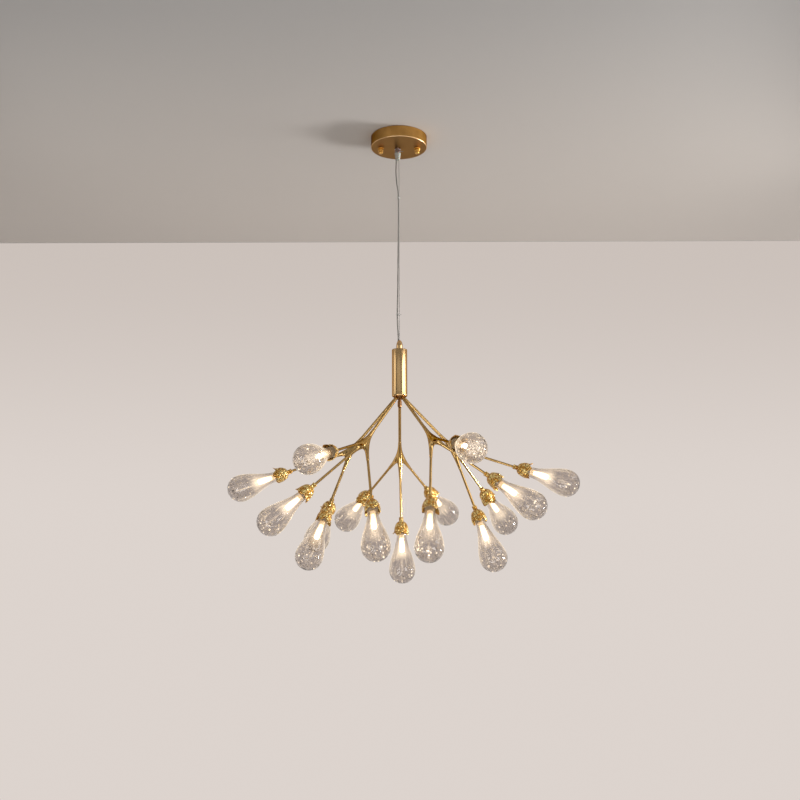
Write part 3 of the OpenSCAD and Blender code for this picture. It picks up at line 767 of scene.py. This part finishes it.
def clip(cord_x, cord_y, height, tail):
    """A clear band round the cord and the wire, with the two ends of the band left long."""
    mesh = bmesh.new()
    middle = Vector((cord_x, cord_y, 0)) / 1000
    away = middle.normalized()
    side = Vector((-away.y, away.x, 0))
    waist = []
    for centre, radius, start in ((Vector(), 0.0016, -90), (middle, 0.0025, 90)):
        for step in range(13):
            angle = math.radians(start + 15 * step)
            waist.append(centre + (-away * math.cos(angle) + side * math.sin(angle)) * radius)
    ring = None
    for offset, inset in BAND_SIDE:
        lift = Vector((0, 0, (height + offset) / 1000))
        heart = middle / 2
        points = [point + (heart - point).normalized() * inset / 1000 + lift for point in waist]
        ring = next_ring(mesh, ring, points) if ring else ring_of(mesh, points)
        if offset == BAND_SIDE[0][0]:
            bmesh.ops.contextual_create(mesh, geom=ring)
    bmesh.ops.contextual_create(mesh, geom=ring)
    for start, way, length in ((Vector(), -away, tail), (middle, away, tail - 1)):
        ends = [start + way * (length * part / 1000) + Vector((0, 0, height / 1000))
                for part in (0, 0.5, 0.9, 1)]
        swept(ends, 0.0007, 10, mesh)
    return mesh


bands = clip(-1.55, -1.8, down(CLIPS_AT[0]), 4.2)
join(bands, clip(-4.2, 0, down(CLIPS_AT[1]), 4))
keep(bands, "clips", "pendant", clip_plastic, ["cord_clips"], sharp=50)
print("clips at", CLIPS_AT, "of the way down")

# %% [markdown]
# ## The tube and its nipple
# A short tube of polished brass hides the joints of the branches. Its lower edge is drawn in
# over a radius, and a bullet-shaped nipple screws into its top. Both are plain turned shapes
# whose look depends on fine edges, so the profile gets small arcs at every corner.

# %% Tube and nipple
low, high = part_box("centre_tube")
TUBE_R = high.x * 1000
TUBE_TOP = high.z * 1000
TUBE_END = low.z * 1000
inner = TUBE_R - 1.5
tube_profile = ([(4.85, TUBE_TOP)] + arc(TUBE_R - 0.5, TUBE_TOP - 0.5, 0.5, 90, 0, 5)
                + arc(TUBE_R - 2.6, TUBE_END + 2.6, 2.6, 0, -80, 12)
                + [(inner - 0.6, TUBE_END), (inner - 0.9, TUBE_END + 0.3),
                   (inner - 0.9, TUBE_END + 1.2), (inner, TUBE_END + 1.3), (inner, TUBE_TOP - 3),
                   (4.85, TUBE_TOP - 3), (4.85, TUBE_TOP)])
tube = turned(tube_profile, 128)
keep(tube, "tube", "pendant", tube_brass, ["centre_tube"], sharp=35)
nose = NIPPLE_TOP * 1000 - TUBE_TOP - 8
nipple_profile = ([(0, -6), (4.8, -6), (4.8, -0.1), (6.9, -0.1), (6.9, 0.5), (6.5, 0.8), (6.5, 8)]
                  + arc(0, 8, 6.5, 5, 85, 16, nose) + [(0, 8 + nose)])
nipple = turned([(radius, TUBE_TOP + height) for radius, height in nipple_profile])
keep(nipple, "nipple", "pendant", tube_brass, ["top_nipple"], sharp=35)
print("tube", round(2 * TUBE_R, 2), "mm wide,", round(TUBE_TOP - TUBE_END, 1), "mm long")

# %% [markdown]
# ## The branches
# Each branch is a rod that runs into a cast trident. The trident's round stem swells into three
# lobes that part as three tapering legs, and a thin twig is brazed into each leg. A subdivision
# surface suits this well: a cage of rings follows the rod, the last ring of the stem is split
# into three mouths round a middle point, and each mouth is extruded into its own leg.

# %% Cage of a branch
STEM = [(-34, 2.5, 3.35), (-26, 2.6, 3.5), (-18, 3.0, 3.9), (-11, 3.6, 4.5), (-4, 4.3, 5.3),
        (3, 4.6, 6.2), (10, 4.5, 6.8), (16, 4.2, 6.6)]
LEG = [(24, 4.1), (31, 3.6), (39, 3.25), (47, 2.95)]
LOBE_SOFT = 14.0
ROD_R = 3.0
TWIG_R = 2.5
TWIG_END = 131.0
SOCKET = 8.7


def cage(radius, count):
    """The radius of a cage ring whose subdivision surface has the given radius."""
    return radius * 3 / (2 + math.cos(2 * math.pi / count))


def branch_cage(branch):
    """One branch: rod, trident and twigs as a cage, in the frame of its rod and in mm."""
    rod = branch["rod"]
    fall = math.asin(-rod.z)
    turn = math.atan2(rod.y, rod.x)
    x_axis = polar(-math.sin(fall), turn, -math.cos(fall))
    y_axis = rod.cross(x_axis)
    twigs = []
    for light in branch["lights"]:
        out = light["out"]
        twigs.append((math.atan2(out.dot(y_axis), out.dot(x_axis)) % (2 * math.pi),
                      math.acos(out.dot(rod))))
    twigs = [twigs[0], twigs[2], twigs[1]]
    spans = [(twigs[(place + 1) % 3][0] - twigs[place][0]) % (2 * math.pi) for place in range(3)]

    def ring_angle(step):
        leg, part = divmod(step % 24, 8)
        return twigs[leg][0] + part / 8 * spans[leg]

    mesh = bmesh.new()
    reach = (branch["fork"] - branch["ball"]).length * 1000
    rod_rings = ([(SOCKET - reach, ROD_R - 0.3), (SOCKET - reach + 0.3, ROD_R)]
                 + [(height, ROD_R) for height in (-120, -90, -60, -36, -34.9)] + [(-34.6, 3.3)])
    ring = None
    for height, radius in rod_rings:
        points = [polar(cage(radius, 24), ring_angle(step), height) for step in range(24)]
        if ring is None:
            ring = ring_of(mesh, points)
            bmesh.ops.contextual_create(mesh, geom=ring)
        else:
            ring = next_ring(mesh, ring, points)
    for height, round_r, web in STEM:
        points = []
        for step in range(24):
            leg = ((step + 4) // 8) % 3
            slope = math.tan(twigs[leg][1])
            lobe = 0.5 * slope * (height + math.hypot(height, LOBE_SOFT)) + round_r
            share = 0.5 + 0.5 * math.cos(math.radians(45 * ((step + 4) % 8 - 4)))
            radius = cage(web + (lobe - web) * share, 24)
            points.append(polar(radius, ring_angle(step), height))
        ring = next_ring(mesh, ring, points)
    web_height, _, web = STEM[-1]
    middle = mesh.verts.new((0, 0, web_height - 1))
    crotch = []
    for leg in range(3):
        inner = mesh.verts.new(polar(0.5 * web, ring_angle(8 * leg + 4), web_height - 0.6))
        mesh.edges.new((ring[8 * leg + 4], inner))
        mesh.edges.new((inner, middle))
        crotch.append(inner)
    for leg, (angle, slope) in enumerate(twigs):
        loop = ([ring[(8 * leg + 20 + step) % 24] for step in range(9)]
                + [crotch[leg], middle, crotch[leg - 1]])
        along = polar(math.sin(slope), angle, math.cos(slope))
        up = polar(math.cos(slope), angle, -math.sin(slope))
        side = polar(1, angle + math.pi / 2)
        rings = (LEG + [(47.4, 2.9)]
                 + [(distance, TWIG_R) for distance in (47.7, 49, 66, 86, 108, 130.7)]
                 + [(TWIG_END, 2.3)])
        for distance, radius in rings:
            points = circle_points(along * distance, up, side, cage(radius, 12), 12,
                                   math.radians(-120))
            loop = next_ring(mesh, loop, points)
        bmesh.ops.contextual_create(mesh, geom=loop)
    place = frame_at(branch["fork"], x_axis, rod) @ Matrix.Scale(0.001, 4)
    return mesh, place


for branch in branches:
    number = branch["number"]
    mesh, place = branch_cage(branch)
    keep(mesh, f"limb_{number}", f"arm_{number}", branch_brass,
         [f"branch_{number}"], place, sharp=180, smooth=2)
print("branches:", len(branches))

# %% [markdown]
# ## The leaf cups
# Each cup is a short ferrule that opens into a bell with five petals. They were cut and bent by
# hand and then covered in gold leaf, so no two are alike: some curl in, others flare out. The
# cup is extruded ring by ring, up the outside, over the petals and down the inside. A petal is
# a part of the ring whose points rise to a tip, with a rib in its middle and a valley beside it.

# %% Petals
PETALS = 5
COLUMNS = 12
TIP = 0.42
CUP_RIM = 27.0
PETAL_RISE = 13.0


def petal_outline(part):
    """Height of a petal's edge, from 0.3 in the gap to 1 at its tip."""
    slope = part / TIP if part < TIP else (1 - part) / (1 - TIP)
    return 0.3 + 0.7 * slope ** 0.8


def ridge(distance):
    """1 on the middle line of a rib or valley, and 0 away from it."""
    return math.exp(-(distance / 0.1) ** 2)


def cup_points(cup, profile_r, height, lift, wall=0.0):
    """One ring of a cup. lift is 0 in the bell and 1 at the edge of the petals."""
    points = []
    for petal in range(PETALS):
        tall = 0.86 + 0.14 * math.sin(math.radians(cup * 97 + petal * 151))
        bend = 2.0 + 3.4 * math.sin(math.radians(cup * 143 + petal * 101))
        leans = (petal + cup) % 2 == 1
        for column in range(COLUMNS):
            part = column / COLUMNS
            edge = petal_outline(1 - part if leans and part > 0 else part)
            angle = 2 * math.pi * (petal + part) / PETALS
            ragged = 1.3 * noise.noise(polar(6, angle, cup * 3.1))
            rise = lift * (PETAL_RISE * edge * tall + ragged * edge)
            flare = bend * edge * lift ** 3
            shape = max(0.0, min(1.0, (height - 12) / 12))
            peak = 1 - TIP if leans else TIP
            rib = 0.5 * ridge(part - peak) - 0.35 * (ridge(part) + ridge(part - 1))
            level = height + rise - 0.3 * max(flare, 0)
            spot = polar(1, angle, level * 0.065 + cup * 5.3)
            crease = 0.3 - abs(noise.noise(spot * 3.8))
            dent = 0.9 * noise.noise(spot * 2.2) + 1.7 * crease + 0.5 * noise.noise(spot * 8)
            radius = profile_r + flare + (rib + dent) * shape - wall
            points.append(polar(radius, angle, level))
    return points


OUTSIDE = [(4.8, 0.0), (5.0, 0.5), (5.0, 1.6), (4.75, 2.1), (4.6, 5.5), (4.6, 8.4), (5.4, 9.2),
           (7.2, 10.0), (9.1, 11.2), (10.9, 13.2), (12.4, 15.8), (13.5, 18.8), (14.3, 21.9),
           (14.7, 24.6), (14.9, 27.0)]
PETAL_LIFTS = [(15.0, 0.25), (15.0, 0.5), (14.95, 0.7), (14.8, 0.85), (14.65, 0.95)]
INSIDE = [(14.3, 24.6), (13.7, 21.9), (12.6, 18.9), (10.9, 16.4), (8.8, 14.4), (6.6, 12.8)]


def leaf_cup(cup):
    """One closed cup, ring by ring, in mm in the frame of its light."""
    rings = [cup_points(cup, radius, height, 0) for radius, height in OUTSIDE]
    rings += [cup_points(cup, radius, CUP_RIM, lift) for radius, lift in PETAL_LIFTS]
    rings += [cup_points(cup, 14.4, CUP_RIM, 1.0), cup_points(cup, 14.4, CUP_RIM, 1.0, 0.4)]
    rings += [cup_points(cup, radius, CUP_RIM, lift, 0.8) for radius, lift in PETAL_LIFTS[::-1]]
    rings += [cup_points(cup, 14.8, CUP_RIM, 0, 0.8)]
    rings += [cup_points(cup, radius, height, 0, 0.4) for radius, height in INSIDE]
    mesh = bmesh.new()
    ring = ring_of(mesh, rings[0])
    bmesh.ops.contextual_create(mesh, geom=ring)
    for points in rings[1:]:
        ring = next_ring(mesh, ring, points)
    bmesh.ops.contextual_create(mesh, geom=ring)
    return mesh


for branch in branches:
    number = branch["number"]
    cups = bmesh.new()
    for order, light in enumerate(branch["lights"]):
        cup = leaf_cup(3 * (number - 1) + order)
        bmesh.ops.transform(cup, matrix=light["frame"] @ Matrix.Scale(0.001, 4), verts=cup.verts)
        join(cups, cup)
    keep(cups, f"petal_cups_{number}", f"arm_{number}", leaf_gold,
         [f"leaf_cups_{number}"], sharp=70, smooth=1)
print("leaf cups:", 3 * len(branches))

# %% [markdown]
# ## The drops and their bulbs
# A glass drop is blown: a straight neck that swells into a round end, with a wall of about a
# millimetre and a half and a fire-polished rim. It is turned as one closed wall, so that the
# light bends at the outer and the inner skin. The bulb is a small tapered capsule on a foot
# with two pins.

# %% Glass drops
NECK_R = 10.3
GLASS_R = 28.0
WALL = 1.4
SHOULDER = 36.0
BALL_AT = 113.0
SIDE_STEPS = 30


def drop_profile(inset, up=True):
    """Points (radius, height) up one skin of a drop, from its neck to its round end."""
    points = [(NECK_R - inset, 21.2), (NECK_R - inset, 26), (NECK_R - inset, 31)]
    for step in range(SIDE_STEPS):
        part = step / SIDE_STEPS
        points.append((NECK_R - inset + (GLASS_R - NECK_R) * part * part * (3 - 2 * part),
                       SHOULDER + part * (BALL_AT - SHOULDER)))
    points += [(radius, height) for radius, height in
               arc(0, BALL_AT, GLASS_R - inset, 0, 90, 18)]
    points[-1] = (0, points[-1][1])
    return points if up else points[::-1]


def carry_place(mesh):
    """Stores at each vertex its place in the frame of its light, with Z out along the light."""
    layer = mesh.verts.layers.float_vector.new("place")
    for vertex in mesh.verts:
        vertex[layer] = vertex.co


rim = arc(NECK_R - WALL / 2, 20.7, WALL / 2, 180, 360, 6)
drop = drop_profile(WALL, up=False) + rim + drop_profile(0)
all_lights = [light for branch in branches for light in branch["lights"]]
for light in all_lights:
    name = light["name"]
    mesh = turned(drop)
    carry_place(mesh)
    keep(mesh, f"drop_{name}", f"shade_{name}", clear_glass, [f"glass_{name}"],
         light["frame"], sharp=180)
print("drops of", len(drop), "rings")

# %% Bulbs
BULB_START = 36.3
BULB_R = 6.2
BULB_END = 76.3
DOME = 5
PIN_R = 0.4
PIN_SIDE = 2
PIN_LENGTH = 8
capsule = ([(0, BULB_START + 6.4), (5.2, BULB_START + 6.4), (5.5, BULB_START + 6.6),
            (5.5, BULB_START + 9), (5.8, BULB_START + 15), (6.1, BULB_START + 22)]
           + arc(0, BULB_END - DOME, BULB_R, 0, 80, 8, DOME) + [(0, BULB_END)])
base = ([(0, BULB_START), (4.6, BULB_START)] + arc(4.8, BULB_START + 0.7, 0.7, -90, 0, 4)
        + [(5.5, BULB_START + 5.8), (5.9, BULB_START + 6.1), (5.9, BULB_START + 6.9),
           (5.3, BULB_START + 7.0), (0, BULB_START + 7.0)])
for light in all_lights:
    name = light["name"]
    body = f"lamp_{name}"
    glow = turned(capsule, 40)
    carry_place(glow)
    keep(glow, f"capsule_{name}", body, bulb_frost, [f"bulb_{name}"],
         light["frame"], sharp=60)
    keep(turned(base, 40), f"capsule_base_{name}", body, base_plastic,
         place=light["frame"])
    pins = bmesh.new()
    for side in (-1, 1):
        swept([Vector((side * PIN_SIDE, 0, BULB_START + height)) / 1000
               for height in (-PIN_LENGTH, 0.4 - PIN_LENGTH, 1)], PIN_R / 1000, 12, pins)
    keep(pins, f"pins_{name}", body, crossbar_steel, place=light["frame"])
print("bulbs:", len(all_lights))

# %% [markdown]
# ## The room
# The lamp needs something to hang from and something to show in its metal: a grey ceiling, a
# pale wall behind it and a pale floor. Painted shade darkens the ceiling towards the camera and
# the wall towards the ceiling. Each is seen from inside the room only, so that it never stands
# between the lamp and a camera that moves round it.


# %% Ceiling, wall and floor
def one_sided(wire, front):
    """A shader that is clear from behind."""
    clear = wire.node("ShaderNodeBsdfTransparent")
    behind = wire.node("ShaderNodeNewGeometry", out="Backfacing")
    return wire.node("ShaderNodeMixShader", None, {0: behind, 1: front, 2: clear})


def flat_paint(wire, colour):
    """Matt paint of one colour."""
    return wire.node("ShaderNodeBsdfDiffuse", None, {"Color": (*colour, 1)})


def paint_with_painted_shade(wire, first, second, axis, edge, width):
    """Matt paint whose colour changes along an axis of the room, as painted shade."""
    share = wire.spot().part(axis).above(edge, width)
    return wire.node("ShaderNodeMixShader", None,
                     {0: share, 1: flat_paint(wire, first), 2: flat_paint(wire, second)})


def backdrop_paint(wire, high, low, edge, width):
    """Matt paint to the light that falls on it, and to the eye a pale colour that darkens towards
    the top as painted shade.
    """
    rays = [wire.node("ShaderNodeLightPath", out=ray)
            for ray in ("Is Camera Ray", "Is Glossy Ray", "Is Transmission Ray")]
    height = wire.spot().part("Z")
    glow = [wire.node("ShaderNodeEmission", None, {"Color": (*colour, 1)})
            for colour in (low, high)]
    backdrop_with_painted_shade = wire.node("ShaderNodeMixShader", None,
                     {0: height.above(edge, width), 1: glow[0], 2: glow[1]})
    return wire.node("ShaderNodeMixShader", None,
                     {0: rays[0] + rays[1] + rays[2], 1: flat_paint(wire, low), 2: backdrop_with_painted_shade})


def panel(name, width, depth, place, paint, *details):
    """One flat side of the room, painted by a function and seen from inside only."""
    material = bpy.data.materials.new(name)
    material.use_nodes = True
    nodes = material.node_tree.nodes
    nodes.remove(nodes["Principled BSDF"])
    wire = Wire(material.node_tree)
    shown = one_sided(wire, paint(wire, *details))
    material.node_tree.links.new(shown.socket, nodes["Material Output"].inputs["Surface"])
    mesh = bmesh.new()
    bmesh.ops.create_grid(mesh, x_segments=1, y_segments=1, size=0.5)
    bmesh.ops.scale(mesh, vec=(width, depth, 1), verts=mesh.verts)
    bmesh.ops.transform(mesh, matrix=place, verts=mesh.verts)
    piece = as_object(mesh, name, material)
    return piece


WALL_Y = 0.655
FLOOR_Z = -2.5
ROOM = 9.0
CEILING_NEAR_SHADED = (0.29, 0.297, 0.308)
CEILING_FAR = (0.57, 0.54, 0.515)
WALL_HIGH_SHADED = (0.60, 0.535, 0.495)
WALL_LOW = (0.72, 0.655, 0.615)
FLOOR_PAINT = (0.70, 0.66, 0.62)
# The ceiling is darker towards the camera: painted shade.
panel("ceiling", ROOM, ROOM,
      Matrix.Translation((0, WALL_Y - ROOM / 2, 0.0004)) @ Matrix.Rotation(math.pi, 4, "X"),
      paint_with_painted_shade, CEILING_NEAR_SHADED, CEILING_FAR, "Y", -1.2, 1.7)
# The wall is darker towards the ceiling: painted shade.
wall = panel("wall", ROOM, -FLOOR_Z,
             Matrix.Translation((0, WALL_Y, FLOOR_Z / 2)) @ Matrix.Rotation(math.pi / 2, 4, "X"),
             backdrop_paint, WALL_HIGH_SHADED, WALL_LOW, -0.75, 0.75)
wall.visible_shadow = False
panel("floor", ROOM, ROOM, Matrix.Translation((0, WALL_Y - ROOM / 2, FLOOR_Z)),
      flat_paint, FLOOR_PAINT)
print("room:", ROOM, "m wide, wall at", WALL_Y, "floor at", FLOOR_Z)

# %% [markdown]
# ## The light
# A wide window far to the right throws the shadow of the ceiling cup. The cards are soft lamps
# closer by. Three of them, level with the cord, show as bands in the brass of the tube. Two stand
# low in front for the branches, and one below and one behind the camera fill the rest.

# %% Light
scene.world = bpy.data.worlds.new("room_light")
scene.world.use_nodes = True
sky = scene.world.node_tree.nodes["Background"]
sky.inputs["Color"].default_value = (0.78, 0.78, 0.78, 1)
sky.inputs["Strength"].default_value = 0.28


def softbox(name, place, aim, width, height, power, colour=(1, 0.97, 0.93), spread=180):
    """A soft lamp that faces a point. The camera sees it only in metal and glass."""
    light = bpy.data.lights.new(name, "AREA")
    light.shape = "RECTANGLE"
    light.size = width
    light.size_y = height
    light.energy = power
    light.color = colour
    light.spread = math.radians(spread)
    lamp = bpy.data.objects.new(name, light)
    lamp.location = place
    lamp.rotation_euler = (Vector(aim) - Vector(place)).to_track_quat("-Z", "Y").to_euler()
    lamp.visible_camera = False
    scene.collection.objects.link(lamp)
    return lamp


softbox("window_right", (9.0, 1.4, -1.95), (0, 0, -0.2), 3.0, 1.1, 1150, (1, 0.985, 0.97))
softbox("card_right", (0.93, -0.375, -0.25), (0, 0, -0.25), 1.1, 0.28, 1.6, spread=120)
softbox("card_left", (-0.97, -0.24, -0.25), (0, 0, -0.25), 0.60, 0.28, 0.24, spread=120)
softbox("card_front", (-0.22, -0.98, -0.25), (0, 0, -0.25), 1.2, 0.28, 0.14, spread=120)
for side, name in ((-1, "card_low_left"), (1, "card_low_right")):
    softbox(name, (1.1 * side, -1.4, -1.1), (0, 0, -0.7), 0.5, 0.5, 1.5, spread=120)
softbox("card_low", (-0.6, -2.0, -2.3), (0, 0, -0.6), 2.6, 0.4, 15)
softbox("card_back", (0, -4.2, -1.2), (0, 0, -0.9), 3.2, 1.6, 14)
print("lamps:", len(bpy.data.lights))
